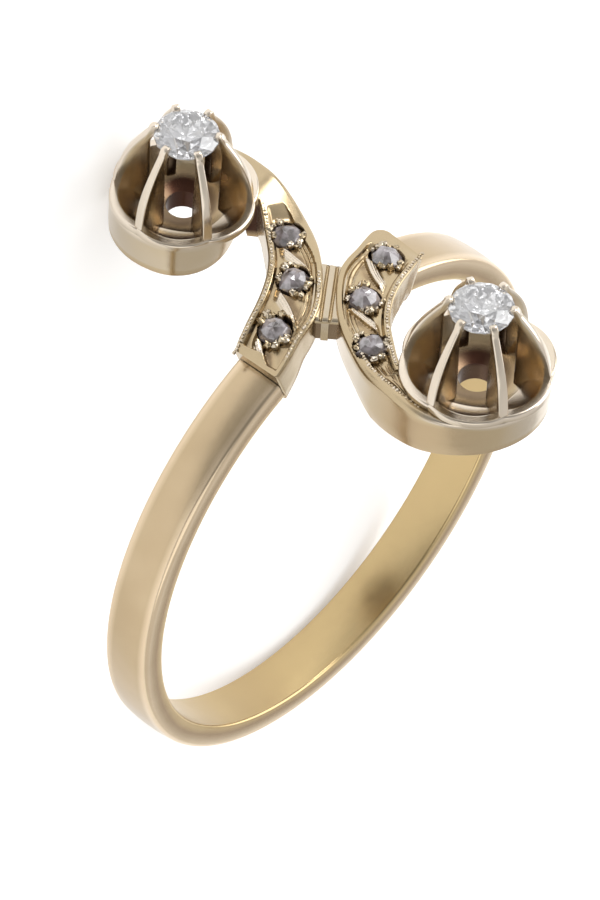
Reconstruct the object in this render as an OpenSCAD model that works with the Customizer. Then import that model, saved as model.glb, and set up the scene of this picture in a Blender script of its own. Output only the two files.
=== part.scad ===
// Toi et moi ring: a yellow gold shank under a white gold top, whose two scrolled arms each curl
// round a drum that carries a six-prong setting with a round brilliant.
// Each piece is drawn as worn: the finger runs along Y, and Z points out through the middle of the top.
// The last step lays the whole ring down on its side, the way it comes to rest on a table.

/* [Shank] */
// Radius of the finger hole
bore_r = 8.5; // [7.5:0.1:10.5]
// Thickness of the shank at the middle of its width
shank_t = 0.9; // [0.7:0.02:1.1]
// Width of the shank along the finger
shank_w = 1.76; // [1.5:0.02:1.8]
// Rounding of the outer edges of the shank
shank_edge = 0.16; // [0.08:0.02:0.25]
// Rounding of the inner edges of the shank
shank_inner_edge = 0.1; // [0.06:0.02:0.16]
// Rise of the outer face from its edges to its middle
shank_crown = 0.05; // [0.02:0.01:0.08]

/* [Arms] */
// Height of the arms above the finger hole
arm_t = 1.5; // [1.35:0.05:1.55]
// Half the angle round the finger that the white gold top takes up
top_half_angle = 20.9; // [20.6:0.1:22]
// Width of the raised rims beside the stones
rim_w = 0.2; // [0.15:0.01:0.25]
// Depth of the stone field below the rims
field_depth = 0.16; // [0.1:0.02:0.22]
// Length of the link that joins the arms in the middle
link_l = 2.4; // [1.8:0.1:2.5]
// Drop of the link below the rims of the arms
link_drop = 0.14; // [0.1:0.02:0.2]

/* [Drums] */
// Outer radius of the drum that each arm curls into
drum_r = 2.4; // [2.35:0.01:2.45]
// Thickness of the drum wall
drum_wall = 0.36; // [0.3:0.02:0.4]
// Height of the top of the drums above the finger hole
drum_rise = 1.85; // [1.75:0.05:1.95]

/* [Settings] */
// Distance across opposite prong feet
feet_d = 4.88; // [4.8:0.02:4.96]
// Swell of each petal beyond the circle of the feet
petal_swell = 0.14; // [0.08:0.01:0.2]
// Thickness of the fins and of the prongs that edge them
fin_t = 0.31; // [0.26:0.01:0.36]
// How far each prong bows out halfway up
prong_bow = 0.24; // [0.1:0.02:0.3]
// Height of the stone's girdle above the rim of the setting
girdle_h = 2.63; // [2.4:0.01:2.8]
// Radius of the hole through the bottom of the setting
light_hole_r = 0.6; // [0.5:0.05:0.7]

/* [Stones] */
// Diameter of each brilliant
brilliant_d = 2.14; // [2:0.02:2.2]
// Table of a brilliant, as a share of its diameter
table_share = 0.58; // [0.53:0.01:0.62]
// Diameter of each small rose-cut stone
rose_d = 1.12; // [1:0.02:1.16]
// Height of a rose-cut stone above its flat back
rose_h = 0.46; // [0.4:0.02:0.5]

/* [Hidden] */
$fn = 96;

// Colours of the pieces
yellow_gold = "#d3ae6c";
white_gold = "#c9bba6";
stone_white = "#e9edf2";
stone_grey = "#7d7480";

// Clear distance between a piece and the one that it is soldered or set on
seam = 0.02;
// Length of every cutting solid, well past the ring
reach = 40;

// Pose at rest: the turn back about X, the small roll about Y, and the shift that puts the
// middle of the underside at the origin
tip_back = -68.2;
roll = 2.05;
rest_shift = [0, -3.09, 4.25];

// Main heights and radii
shank_r = bore_r + shank_t;
arm_r = bore_r + arm_t;
field_r = arm_r - field_depth;
drum_top = bore_r + drum_rise;
rim_h = 0.27;
feet_z = drum_top + seam + rim_h;
feet_r = feet_d / 2;

// How far a small stone's flat back lies below the field
rose_sink = 0.14;
// Turn of each small stone beyond the one before it, so that no two lie alike
rose_turn = 17;

// Middle of the first setting, and the turn of its prong feet about its axis
head_x = -0.46;
head_y = 5.84;
feet_turn = 1;
petals = 6;
petal_angle = 360 / petals;

// Depth of the cup below its rim, width of metal round its light hole, and height of its straight wall
cup_depth = 1.48;
foot_w = 0.2;
skirt = 0.15;

// Plan of the cup: each petal is an arc through two feet, round a middle on the petal's own axis
crest_r = feet_r + petal_swell;
petal_at = (crest_r * crest_r - feet_r * feet_r) / 2 / (crest_r - feet_r * cos(petal_angle / 2));
petal_arc = crest_r - petal_at;

// Inner edge of the fins, outer end of the cup's floor, steps along the bow of a prong, and the claws
core_r = 1.2;
floor_r = drum_r - drum_wall - 2 * seam;
bow_steps = 8;
claw_h = 0.24;
claw_round = 0.06;
claw_reach = 0.19;

// Proportions of a round brilliant: heights, and the rings of its kites and pavilion mains
crown_h = 0.155 * brilliant_d;
pavilion_h = 0.43 * brilliant_d;
girdle_t = 0.03 * brilliant_d;
cut_sides = 8;
cut_half = 180 / cut_sides;
brilliant_r = brilliant_d / 2;
table_r = brilliant_r * table_share;
kite_r = brilliant_r * 0.8;
main_r = brilliant_r * 0.28;
kite_z = girdle_t / 2 + (brilliant_r - kite_r * cos(cut_half)) * crown_h / (brilliant_r - table_r);
main_z = -girdle_t / 2 - (brilliant_r - main_r * cos(cut_half)) * pavilion_h / brilliant_r;

// Middle line of an arm in plan, from past the shank end to the side of the drum
ARM_X = 0;
ARM_Y = 1;
ARM_W = 2;
ARM = [
    [-4.60, -0.10, 1.90],
    [-3.50,  0.00, 1.90],
    [-2.35,  0.30, 1.92],
    [-1.35,  0.57, 2.00],
    [-0.45,  1.10, 1.84],
    [ 0.26,  1.74, 1.66],
    [ 0.86,  2.54, 1.46],
    [ 1.50,  3.58, 1.16],
    [ 1.90,  4.72, 0.86],
    [ 1.99,  5.84, 0.70]
];
arm_rows = len(ARM);
arm_steps = 4;
arm_end = arm_rows - 1;

// Places along the arm, counted in rows of the table: the small stones of each arm, set by eye
ROSES_AT = [[6.0, 4.0, 2.05], [6.0, 3.92, 1.8]];
field_from = 1.15;
field_to = 7.1;
notch_at = 7.2;

// Flare of the drum where the arm runs into it, and the angle over which it dies away
flare = 0.39;
flare_turn = 25;
// The curl draws in a little on its way round, and its last part is a tail that closes in under the cup
curl_in = 0.1;
curl_from = 140;
curl_turn = 50;
curl_step = 6;
tail_in = 0.52;
tail_from = 204;
tail_turn = 90;
curl_to = tail_from + tail_turn;

// Ramp from the arms up to the drums
ramp_from = 2.3;
ramp_to = 4.6;
ramp_steps = 6;

// The underside slopes up from the arm to the far end of the drum, and the curl is cut level from
// a line that starts at the notch
under_from = 3.4;
under_dip = 0.3;
under_slope = 10.8;
curl_rise = 0.48;
level_x = 0.85;
level_y = 3.7;
level_heading = 104;

// Section of the shank
edge_steps = 4;

function quarter(cx, cy, r, from, n) =
    [for (i = [0:n]) let (a = from + 90 * i / n) [cx + r * cos(a), cy + r * sin(a)]];

function shank_section() = concat(
    quarter(shank_r - shank_crown - shank_edge, shank_w / 2 - shank_edge, shank_edge, 0, edge_steps),
    quarter(bore_r + shank_inner_edge, shank_w / 2 - shank_inner_edge, shank_inner_edge, 90, edge_steps),
    quarter(bore_r + shank_inner_edge, shank_inner_edge - shank_w / 2, shank_inner_edge, 180, edge_steps),
    quarter(shank_r - shank_crown - shank_edge, shank_edge - shank_w / 2, shank_edge, 270, edge_steps),
    [[shank_r, -shank_w / 5], [shank_r, shank_w / 5]]
);

// A row of the arm table, continued in a straight line past either end
function arm_row(i) =
    i < 0 ? 2 * ARM[0] - ARM[1] :
    i > arm_end ? 2 * ARM[arm_end] - ARM[arm_end - 1] : ARM[i];

// Smooth curve through the rows, at a place counted in rows
function smooth(a, b, c, d, t) =
    (2 * b + (c - a) * t + (2 * a - 5 * b + 4 * c - d) * t * t + (3 * b - a - 3 * c + d) * t * t * t) / 2;

function arm_at(u) =
    let (k = min(floor(u), arm_end - 1))
    smooth(arm_row(k - 1), arm_row(k), arm_row(k + 1), arm_row(k + 2), u - k);

function arm_heading(u) =
    let (h = 0.02, a = arm_at(max(u - h, 0)), b = arm_at(min(u + h, arm_end)))
    atan2(b[ARM_Y] - a[ARM_Y], b[ARM_X] - a[ARM_X]);

// Point beside the middle line: side is 1 on the hollow edge and -1 on the outer edge
function arm_side(u, side, inset = 0) =
    let (p = arm_at(u), a = arm_heading(u) + 90, d = side * (p[ARM_W] / 2 - inset))
    [p[ARM_X] + d * cos(a), p[ARM_Y] + d * sin(a)];

// Outer radius of the curl at an angle round the drum
function curl_r(a) =
    drum_r + flare * exp(-a / flare_turn)
    - curl_in * min(1, max(0, (a - curl_from) / curl_turn))
    - tail_in * (1 - cos(180 * min(1, max(0, (a - tail_from) / tail_turn)))) / 2;

function curl_point(a) = [head_x + curl_r(a) * cos(a), head_y + curl_r(a) * sin(a)];

// Opening of the drum: the wall keeps its thickness where the curl closes in
function bore_point(a) =
    let (r = min(drum_r, curl_r(a)) - drum_wall)
    [head_x + r * cos(a), head_y + r * sin(a)];

// The outline runs up the outer edge of the arm, round the curl and in to its middle, and back down
// the hollow edge
function arm_outline() = concat(
    [for (i = [0:arm_end * arm_steps]) arm_side(i / arm_steps, -1)],
    [for (a = [curl_step:curl_step:curl_to]) curl_point(a)],
    [[head_x, head_y]],
    [for (i = [floor(notch_at * arm_steps):-1:0]) arm_side(i / arm_steps, 1)]
);

function bore_outline() = [for (a = [curl_to + curl_step - 360:curl_step:curl_to]) bore_point(a)];

function field_outline() = concat(
    [for (i = [0:(field_to - field_from) * arm_steps]) arm_side(field_from + i / arm_steps, -1, rim_w)],
    [for (i = [(field_to - field_from) * arm_steps:-1:0]) arm_side(field_from + i / arm_steps, 1, rim_w)]
);

// Profile across the finger of the ramp that lifts the arms to the drums
function ramp_height(t) = arm_r + (drum_top - arm_r) * (1 - cos(180 * t)) / 2;

function ramp_profile() = concat(
    [[ramp_from, bore_r - 1]],
    [for (i = [0:ramp_steps]) let (t = i / ramp_steps)
        [ramp_from + (ramp_to - ramp_from) * t, ramp_height(t)]],
    [[reach / 2, drum_top], [reach / 2, bore_r - 1]]
);

// A cylinder or wedge that runs along the finger
module along_finger(r) {
    rotate([90, 0, 0]) cylinder(r = r, h = reach, center = true, $fn = 360);
}

// The sector of the ring that the white gold top takes up, grown by a clear distance
module top_sector(grow = 0) {
    far = reach * cos(top_half_angle);
    side = reach * sin(top_half_angle);
    lift = grow / sin(top_half_angle);
    rotate([90, 0, 0]) linear_extrude(height = reach, center = true)
        polygon([[0, -lift], [side, far - lift], [-side, far - lift]]);
}

// Everything that is made twice, the second time half a turn round from the first
module half_turn(second) {
    rotate([0, 0, second ? 180 : 0]) children();
}

module lie_down() {
    translate(rest_shift) rotate([0, roll, 0]) rotate([tip_back, 0, 0]) children();
}

module shank_piece() {
    difference() {
        rotate([90, 0, 0]) rotate_extrude($fn = 360) polygon(shank_section());
        top_sector(seam);
    }
}

// One arm with its drum, before the stone field is cut
module arm_blank() {
    difference() {
        intersection() {
            linear_extrude(height = drum_top) difference() {
                polygon(arm_outline());
                polygon(bore_outline());
            }
            union() {
                along_finger(arm_r);
                rotate([90, 0, 90]) linear_extrude(height = reach, center = true) polygon(ramp_profile());
            }
            top_sector();
        }
        translate([head_x, head_y, feet_z]) rotate([0, 0, feet_turn])
            rotate_extrude() polygon(body_profile(seam, reach));
        under_drum();
    }
}

// Space under the drum
module under_drum() {
    intersection() {
        translate([head_x, head_y, 0]) cylinder(r = drum_r + flare, h = bore_r + curl_rise);
        translate([level_x, level_y, 0]) rotate([0, 0, level_heading])
            translate([-reach / 2, 0, 0]) cube([reach, reach, reach]);
    }
    translate([0, under_from, bore_r - under_dip]) rotate([under_slope, 0, 0])
        translate([-reach / 2, 0, -reach]) cube([reach, reach, reach]);
}

// Stone field between the rims, with a drilled seat for each small stone
module stone_field(arm) {
    difference() {
        linear_extrude(height = reach) polygon(field_outline());
        along_finger(field_r);
    }
    for (u = ROSES_AT[arm]) rose_place(u) translate([0, 0, -rose_sink]) cylinder(r = rose_d / 2 + seam, h = rose_h);
}

// Puts a piece on the field at a place along the arm, square to the finger hole
module rose_place(u) {
    p = arm_at(u);
    lean = asin(p[ARM_X] / field_r);
    rotate([0, lean, 0]) translate([0, p[ARM_Y], field_r]) children();
}

// Short grooved bar that joins the outer edges of the arms in the middle
module link() {
    heading = 35;
    bar_w = 1.0;
    groove_w = 0.12;
    groove_d = 0.14;
    groove_at = 0.15;
    under = 0.35;
    difference() {
        intersection() {
            rotate([0, 0, heading]) translate([-link_l / 2, -bar_w / 2, 0]) cube([link_l, bar_w, drum_top]);
            along_finger(arm_r - link_drop);
        }
        along_finger(bore_r + under);
        for (side = [-1, 1]) rotate([0, 0, heading]) {
            translate([-reach / 2, side * groove_at - groove_w / 2, arm_r - link_drop - groove_d])
                cube([reach, groove_w, reach]);
            for (end = [-1, 1])
                translate([end * link_l / 2 - groove_d / 2, side * groove_at - groove_w / 2, 0])
                    cube([groove_d, groove_w, drum_top]);
        }
    }
}

module top_frame_piece() {
    difference() {
        union() {
            for (second = [false, true]) half_turn(second) arm_blank();
            link();
        }
        along_finger(bore_r);
        for (arm = [0, 1]) half_turn(arm == 1) stone_field(arm);
    }
}

// Everything of a setting is drawn with the rim of its cup at height 0 and its axis on Z
module head_place(second) {
    half_turn(second) translate([head_x, head_y, feet_z]) rotate([0, 0, feet_turn]) children();
}

// Outline of the cup in plan: six arcs through the prong feet, each swelling past their circle
module petal_outline() {
    for (i = [0:petals - 1]) rotate((i + 0.5) * petal_angle) translate([petal_at, 0]) circle(r = petal_arc);
}

// Half section of the cup's body below its rim, grown by a clear distance and carried up to a height
function body_profile(grow, top) =
    let (foot_r = light_hole_r + foot_w + grow, wall_r = floor_r + grow)
    [[0, -cup_depth - grow], [foot_r, -cup_depth - grow], [wall_r, -rim_h - skirt - grow], [wall_r, top], [0, top]];

// The cup's floor is a shallow bowl round the light hole, with a wider scoop in each petal
module cup() {
    bowl_r = 3;
    hole_top = 0.74;
    bowl_z = sqrt(bowl_r * bowl_r - light_hole_r * light_hole_r) - hole_top;
    lip_w = 0.25;
    scoop_depth = 0.5;
    scoop_reach = petal_arc - lip_w;
    scoop_z = (scoop_reach * scoop_reach - scoop_depth * scoop_depth) / 2 / scoop_depth;
    difference() {
        union() {
            rotate_extrude() polygon(body_profile(0, 0));
            translate([0, 0, -rim_h]) linear_extrude(height = rim_h) petal_outline();
        }
        for (i = [0:petals - 1]) rotate([0, 0, (i + 0.5) * petal_angle]) translate([petal_at, 0, scoop_z])
            sphere(r = scoop_z + scoop_depth);
        translate([0, 0, bowl_z]) sphere(r = bowl_r);
        cylinder(r = light_hole_r, h = reach, center = true);
    }
}

// One fin with its prong and claw, in the plane of its foot: the prong bows out on its way up to the
// girdle, and the claw laps over the stone
module fin() {
    root = 0.65;
    sunk = 0.2;
    edge_in = 0.05;
    foot_r = feet_r - edge_in;
    back_r = brilliant_r + claw_reach;
    tip_r = brilliant_r - claw_reach;
    rotate([90, 0, 0]) linear_extrude(height = fin_t, center = true) polygon(concat(
        [[core_r, -root], [floor_r - seam, -sunk], [foot_r - sunk, -sunk], [foot_r, -sunk / 2]],
        [for (i = [0:bow_steps]) let (t = i / bow_steps)
            [foot_r + (back_r - foot_r) * t + prong_bow * sin(180 * t), girdle_h * t]],
        [[back_r - claw_round, girdle_h + claw_h], [back_r - 3 * claw_round, girdle_h + claw_h + claw_round],
         [tip_r, girdle_h + claw_h], [tip_r, girdle_h], [core_r, girdle_h - claw_reach]]
    ));
}

// Space that a brilliant takes up, as a turned solid that is a seam larger all round
module brilliant_space() {
    r = brilliant_r + seam;
    edge = girdle_t / 2 + seam;
    translate([0, 0, girdle_h]) rotate_extrude() polygon([
        [0, -edge - pavilion_h], [main_r + seam, main_z - seam], [r, -edge], [r, edge],
        [kite_r + seam, kite_z + seam], [table_r + seam, edge + crown_h], [0, edge + crown_h]
    ]);
}

module head_piece() {
    difference() {
        union() {
            cup();
            for (i = [0:petals - 1]) rotate([0, 0, i * petal_angle]) fin();
        }
        brilliant_space();
    }
}

function ring_points(n, r, z, turn) =
    [for (i = [0:n - 1]) [r * cos(360 * i / n + turn), r * sin(360 * i / n + turn), z]];

// Round brilliant: table, 8 stars, 8 kites, 16 upper halves, girdle, 16 lower halves and 8 mains
module brilliant() {
    n = cut_sides;
    top = girdle_t / 2;
    points = concat(
        ring_points(n, table_r, top + crown_h, 0),
        ring_points(n, kite_r, kite_z, cut_half),
        ring_points(2 * n, brilliant_r, top, 0),
        ring_points(2 * n, brilliant_r, -top, 0),
        ring_points(n, main_r, main_z, cut_half),
        [[0, 0, -top - pavilion_h]]
    );
    kite = n;
    upper = 2 * n;
    lower = 4 * n;
    main = 6 * n;
    culet = 7 * n;
    faces = concat(
        [[for (i = [n - 1:-1:0]) i]],
        [for (i = [0:n - 1]) [i, (i + 1) % n, kite + i]],
        [for (i = [0:n - 1]) [i, kite + i, upper + 2 * i, kite + (i + n - 1) % n]],
        [for (i = [0:n - 1]) [kite + i, upper + 2 * i + 1, upper + 2 * i]],
        [for (i = [0:n - 1]) [kite + i, upper + (2 * i + 2) % (2 * n), upper + 2 * i + 1]],
        [for (j = [0:2 * n - 1]) let (k = (j + 1) % (2 * n)) [upper + j, upper + k, lower + k, lower + j]],
        [for (i = [0:n - 1]) [main + i, lower + 2 * i, lower + 2 * i + 1]],
        [for (i = [0:n - 1]) [main + i, lower + 2 * i + 1, lower + (2 * i + 2) % (2 * n)]],
        [for (i = [0:n - 1]) [culet, main + (i + n - 1) % n, lower + 2 * i, main + i]]
    );
    polyhedron(points = points, faces = faces, convexity = 2);
}

// Rose-cut stone: a flat back and a low dome of facets under a small table, slightly out of round
module rose(turn) {
    n = cut_sides;
    r = rose_d / 2 - seam;
    edge_h = 0.1;
    shoulder = 0.72;
    table = 0.3;
    oval = 0.94;
    rings = concat(
        ring_points(n, r, 0, turn),
        ring_points(n, r, edge_h, turn),
        ring_points(n, r * shoulder, rose_h * shoulder, turn + cut_half),
        ring_points(n, r * table, rose_h, turn)
    );
    faces = concat(
        [[for (i = [0:n - 1]) i]],
        [[for (i = [n - 1:-1:0]) 3 * n + i]],
        [for (i = [0:n - 1]) [i, n + i, n + (i + 1) % n, (i + 1) % n]],
        [for (i = [0:n - 1]) [n + i, 2 * n + i, n + (i + 1) % n]],
        [for (i = [0:n - 1]) [n + i, 2 * n + (i + n - 1) % n, 2 * n + i]],
        [for (i = [0:n - 1]) [2 * n + i, 3 * n + (i + 1) % n, 2 * n + (i + 1) % n]],
        [for (i = [0:n - 1]) [2 * n + i, 3 * n + i, 3 * n + (i + 1) % n]]
    );
    polyhedron(points = [for (p = rings) [p[0] * oval, p[1], p[2]]], faces = faces, convexity = 2);
}

module shank() {
    color(yellow_gold) lie_down() shank_piece();
}

module top_frame() {
    color(white_gold) lie_down() top_frame_piece();
}

module head(second) {
    color(white_gold) lie_down() head_place(second) head_piece();
}

module diamond(second) {
    color(stone_white) lie_down() head_place(second) translate([0, 0, girdle_h]) brilliant();
}

// The small stones are numbered outwards from the first head, then the same on the second arm
module small_stone(number) {
    arm = number > 3 ? 1 : 0;
    u = ROSES_AT[arm][(number - 1) % 3];
    color(stone_grey) lie_down() half_turn(arm == 1) rose_place(u)
        translate([0, 0, seam - rose_sink]) rose(rose_turn * number);
}

shank();
top_frame();
head(false);  // head_1
head(true);  // head_2
diamond(false);  // diamond_1
diamond(true);  // diamond_2
small_stone(1);  // rose_1
small_stone(2);  // rose_2
small_stone(3);  // rose_3
small_stone(4);  // rose_4
small_stone(5);  // rose_5
small_stone(6);  // rose_6
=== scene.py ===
# %% [markdown]
# # A toi et moi ring in two colours of gold
# The CAD row gives every solid its true size and place, and this lesson dresses it.
# It could be modelled again from nothing, but then the dressed ring could drift from the CAD solids.
# So the imported frame comes first.

# %% The frame
import bpy
import numpy as np
from mathutils import Matrix, Vector


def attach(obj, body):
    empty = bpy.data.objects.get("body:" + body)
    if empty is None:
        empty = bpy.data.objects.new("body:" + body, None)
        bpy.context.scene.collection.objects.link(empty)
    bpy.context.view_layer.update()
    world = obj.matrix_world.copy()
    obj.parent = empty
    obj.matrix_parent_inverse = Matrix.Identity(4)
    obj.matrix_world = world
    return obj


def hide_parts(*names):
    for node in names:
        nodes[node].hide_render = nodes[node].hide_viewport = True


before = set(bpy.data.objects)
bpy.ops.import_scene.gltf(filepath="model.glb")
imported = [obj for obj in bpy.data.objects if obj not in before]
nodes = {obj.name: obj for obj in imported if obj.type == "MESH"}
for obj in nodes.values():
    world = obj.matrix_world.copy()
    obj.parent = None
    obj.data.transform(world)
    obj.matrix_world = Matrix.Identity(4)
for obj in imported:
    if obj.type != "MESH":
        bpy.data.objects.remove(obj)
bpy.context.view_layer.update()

# %% [markdown]
# ## The pose at rest
# A jeweller thinks of a ring as worn: the finger runs along Y, and the stones point up along Z.
# Let go, a ring tips over on to its side. Each surface below is worked out as worn, where its
# formulas are short, and one turn and one shift then lay the points down. The finished objects
# could be turned instead, but a pattern on Object coordinates would turn with them.

# %% From worn to lying
MM = 0.001
TIP_BACK, ROLL = np.radians(-68.2), np.radians(2.05)
REST_SHIFT = np.array([0, -3.09, 4.25])


def turn_x(angle):
    """A turn about X: Y towards Z."""
    c, s = np.cos(angle), np.sin(angle)
    return np.array([[1, 0, 0], [0, c, -s], [0, s, c]])


def turn_y(angle):
    """A turn about Y: Z towards X."""
    c, s = np.cos(angle), np.sin(angle)
    return np.array([[c, 0, s], [0, 1, 0], [-s, 0, c]])


LAY = turn_y(ROLL) @ turn_x(TIP_BACK)


def lay_down(points):
    """Points as worn, in mm, to points of the ring at rest, in metres: turn, shift, scale."""
    return (np.asarray(points, float) @ LAY.T + REST_SHIFT) * MM


print("The stones now point along", LAY[:, 2].round(3))

# %% [markdown]
# ## The camera
# The photograph was taken from above one side, through a long lens. A camera fitted to the hoop,
# the stones and the prong feet gives three directions of view as worn, a distance and a scale in
# pixels a millimetre. The same turn that lays the ring down turns the camera with it, so the ring
# shows the face that it shows in the photograph, and the table fills the background.

# %% Camera
VIEW_RIGHT = np.array([0.6582, -0.7517, 0.0419])
VIEW_UP = np.array([0.5562, 0.5230, 0.6459])
VIEW_BACK = np.array([-0.5074, -0.4019, 0.7623])
VIEW_DISTANCE = 477
PIXELS_PER_MM = 30.75
IMAGE_W, IMAGE_H = 600, 900
HOOP_MIDDLE_PX = (316.3, 490.4)
SENSOR = 36

right, up, back = (LAY @ v for v in (VIEW_RIGHT, VIEW_UP, VIEW_BACK))
eye = REST_SHIFT + VIEW_DISTANCE * back
aim = (REST_SHIFT + right * (IMAGE_W / 2 - HOOP_MIDDLE_PX[0]) / PIXELS_PER_MM
       + up * (HOOP_MIDDLE_PX[1] - IMAGE_H / 2) / PIXELS_PER_MM)
look_back = (eye - aim) / np.linalg.norm(eye - aim)
look_right = np.cross(up, look_back)
look_right /= np.linalg.norm(look_right)
look_up = np.cross(look_back, look_right)

camera = bpy.data.objects.new("camera", bpy.data.cameras.new("camera"))
bpy.context.scene.collection.objects.link(camera)
camera.matrix_world = Matrix.Translation(Vector(eye * MM)) @ Matrix(
    np.column_stack([look_right, look_up, look_back]).tolist()).to_4x4()
camera.data.sensor_width = SENSOR
camera.data.lens = PIXELS_PER_MM * VIEW_DISTANCE * SENSOR / IMAGE_H
camera.data.clip_start, camera.data.clip_end = 0.01, 10
bpy.context.scene.camera = camera
print("Lens in mm:", round(camera.data.lens, 1), "above the horizon in degrees:",
      round(float(np.degrees(np.arcsin(look_back[2]))), 1))

# %% [markdown]
# ## From arrays to meshes
# Every piece here is a surface of two parameters: a grid of points that closes round its columns,
# and then either round its rows too, or at both ends by a fan of triangles. Blender's own shapes
# and editing tools could make most of them, but a grid keeps each formula in one place and works
# out all its points at once.

# %% Grids, tubes and rings
def grid_faces(rows, columns, wrap_rows=False):
    """Four-sided faces between neighbours of a grid, counted row by row, closed round its columns."""
    i = np.arange(rows if wrap_rows else rows - 1)[:, None]
    j = np.arange(columns)[None, :]
    i2, j2 = (i + 1) % rows, (j + 1) % columns
    faces = np.stack([i * columns + j, i * columns + j2, i2 * columns + j2, i2 * columns + j], -1)
    return faces.reshape(-1, 4)


def fan_faces(ring, tip):
    """Three-sided faces from each edge of a closed ring of point numbers to one tip."""
    return np.stack([np.roll(ring, -1), ring, np.full(len(ring), tip)], -1)


def tube(points, tone=0.0):
    """A grid (rows, columns, 3) closed round its columns, with a fan over each end."""
    rows, columns = points.shape[:2]
    tone = np.broadcast_to(tone, (rows, columns))
    flat = np.concatenate([points.reshape(-1, 3), points[:1].mean(1), points[-1:].mean(1)])
    first, last = np.arange(columns), np.arange(columns) + (rows - 1) * columns
    fans = np.concatenate([fan_faces(first, rows * columns), fan_faces(last[::-1], rows * columns + 1)])
    return flat, [grid_faces(rows, columns), fans], np.concatenate([tone.ravel(), tone[[0, -1]].mean(1)])


def ring(points, tone=0.0):
    """A grid closed both ways, as a torus is."""
    rows, columns = points.shape[:2]
    tone = np.broadcast_to(tone, (rows, columns))
    return points.reshape(-1, 3), [grid_faces(rows, columns, wrap_rows=True)], tone.ravel()


print("Faces of a tube of 4 rings of 6 points, without its ends:", len(grid_faces(4, 6)))

# %% [markdown]
# ## From shells to a piece
# A piece is one or more closed shells. Each shell's faces have to point outwards, or glass and bump
# go wrong. A mesh operator could turn them afterwards; here the sign of the volume inside them tells,
# and needs no editing mode. Every point also carries a tone, from 0 on the brightest metal to 1 in a
# dark crevice, which the finish reads later. Most of it is painted light: painted highlights on
# edges and cuts, and painted shade in crevices, hollows and undersides.

# %% Pieces
def outwards(points, groups):
    """Turns all faces round if the volume inside them, summed from the origin, is negative."""
    volume = 0.0
    for faces in groups:
        a = points[faces[:, 0]]
        for k in range(1, faces.shape[1] - 1):
            volume += (a * np.cross(points[faces[:, k]], points[faces[:, k + 1]])).sum()
    return groups if volume > 0 else [faces[:, ::-1] for faces in groups]


def join(shells):
    """One list of points, faces and tones from several closed shells, each turned outwards."""
    points, groups, tones, count = [], [], [], 0
    for shell_points, shell_groups, shell_tones in shells:
        groups += [faces + count for faces in outwards(shell_points, shell_groups)]
        points.append(shell_points)
        tones.append(shell_tones)
        count += len(shell_points)
    return np.concatenate(points), groups, np.concatenate(tones)


def make_piece(name, shells, replaced, sharp=40):
    """A finished piece from closed shells as worn: laid down, smooth but for sharp edges, riding."""
    points, groups, tones = join(shells)
    mesh = bpy.data.meshes.new(name)
    mesh.from_pydata(lay_down(points).tolist(), [], [f for g in groups for f in g.tolist()])
    mesh.attributes.new("tone", "FLOAT", "POINT").data.foreach_set("value", tones.astype(np.float32))
    mesh.shade_smooth()
    mesh.set_sharp_from_angle(angle=np.radians(sharp))
    piece = bpy.data.objects.new(name, mesh)
    bpy.context.scene.collection.objects.link(piece)
    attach(piece, "root")
    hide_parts(replaced)
    triangles = sum(len(g) * (g.shape[1] - 2) for g in groups)
    print(f"{name}: {len(mesh.vertices)} points, {triangles} triangles")
    return piece

# %% [markdown]
# ## Three formulas for the whole ring
# Most things on a hand-made ring fade in and out, so one soft step from 0 to 1 serves all over. The
# arms and the claws flow through a few measured points. Blender's own curves could do that, but a
# formula gives their points at once. The second arm and setting are the first ones turned half way
# round. A copy of the object could be turned, but a finished piece sits unturned at the origin, so
# its points are turned instead.

# %% Soft step, smooth curve and half turn
def ease(x, low, high):
    """0 below low, 1 above high, and an S between them: 3t2 - 2t3."""
    t = np.clip((x - low) / (high - low), 0, 1)
    return t * t * (3 - 2 * t)


def smooth(points, u):
    """A Catmull-Rom curve through a row of points, at u points along, with one more row at each end.

    Between b and c, with a before and d after, it is half of 2b + (c - a)t + (2a - 5b + 4c - d)t2 +
    (3b - a - 3c + d)t3.
    """
    rows = np.concatenate([[2 * points[0] - points[1]], points, [2 * points[-1] - points[-2]]])
    k = np.clip(np.floor(u).astype(int), 0, len(points) - 2)
    t = (u - k)[:, None]
    a, b, c, d = (rows[k + shift] for shift in range(4))
    return (2 * b + (c - a) * t + (2 * a - 5 * b + 4 * c - d) * t ** 2
            + (3 * b - a - 3 * c + d) * t ** 3) / 2


def half_turn(points, second):
    """The second arm's points, or the first's as they are: x and y change their signs."""
    return points * np.array([-1, -1, 1]) if second else points


print("The soft step a quarter of the way:", round(float(ease(0.25, 0, 1)), 3))

# %% [markdown]
# ## The shank
# The real shank is rolled wire, flat with eased edges, bent round a mandrel, and worn smooth. It
# could be a torus squeezed into a band, but its flat faces and small rounded edges make its
# highlights, so its section is drawn exactly and carried round the finger. It is a hair thinner
# than the CAD solid, so that rounding can't carry a point outside the solid's box.

# %% Shank
BORE_R, SHANK_T, SHANK_W = 8.5, 0.895, 1.76
OUTER_EDGE, INNER_EDGE, CROWN = 0.16, 0.1, 0.05
TOP_HALF_ANGLE, SEAM = np.radians(20.9), 0.02
SHANK_STEPS, EDGE_STEPS, FACE_STEPS = 360, 7, 6
# The faces of the one gold are painted as lit and shaded: the eased edges palest, as painted highlights, and
# the outer and inner faces darker and deeper in colour, as painted shade.
OUTER_FACE_SHADE, EDGE_HIGHLIGHT, INNER_FACE_SHADE = 0.3, 0.0, 1.0


def corner(middle, radius, start):
    """A quarter circle of a section's corner, from start round to start + 90 degrees."""
    a = np.radians(start + np.linspace(0, 90, EDGE_STEPS))
    return np.column_stack([middle[0] + radius * np.cos(a), middle[1] + radius * np.sin(a)])


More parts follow.
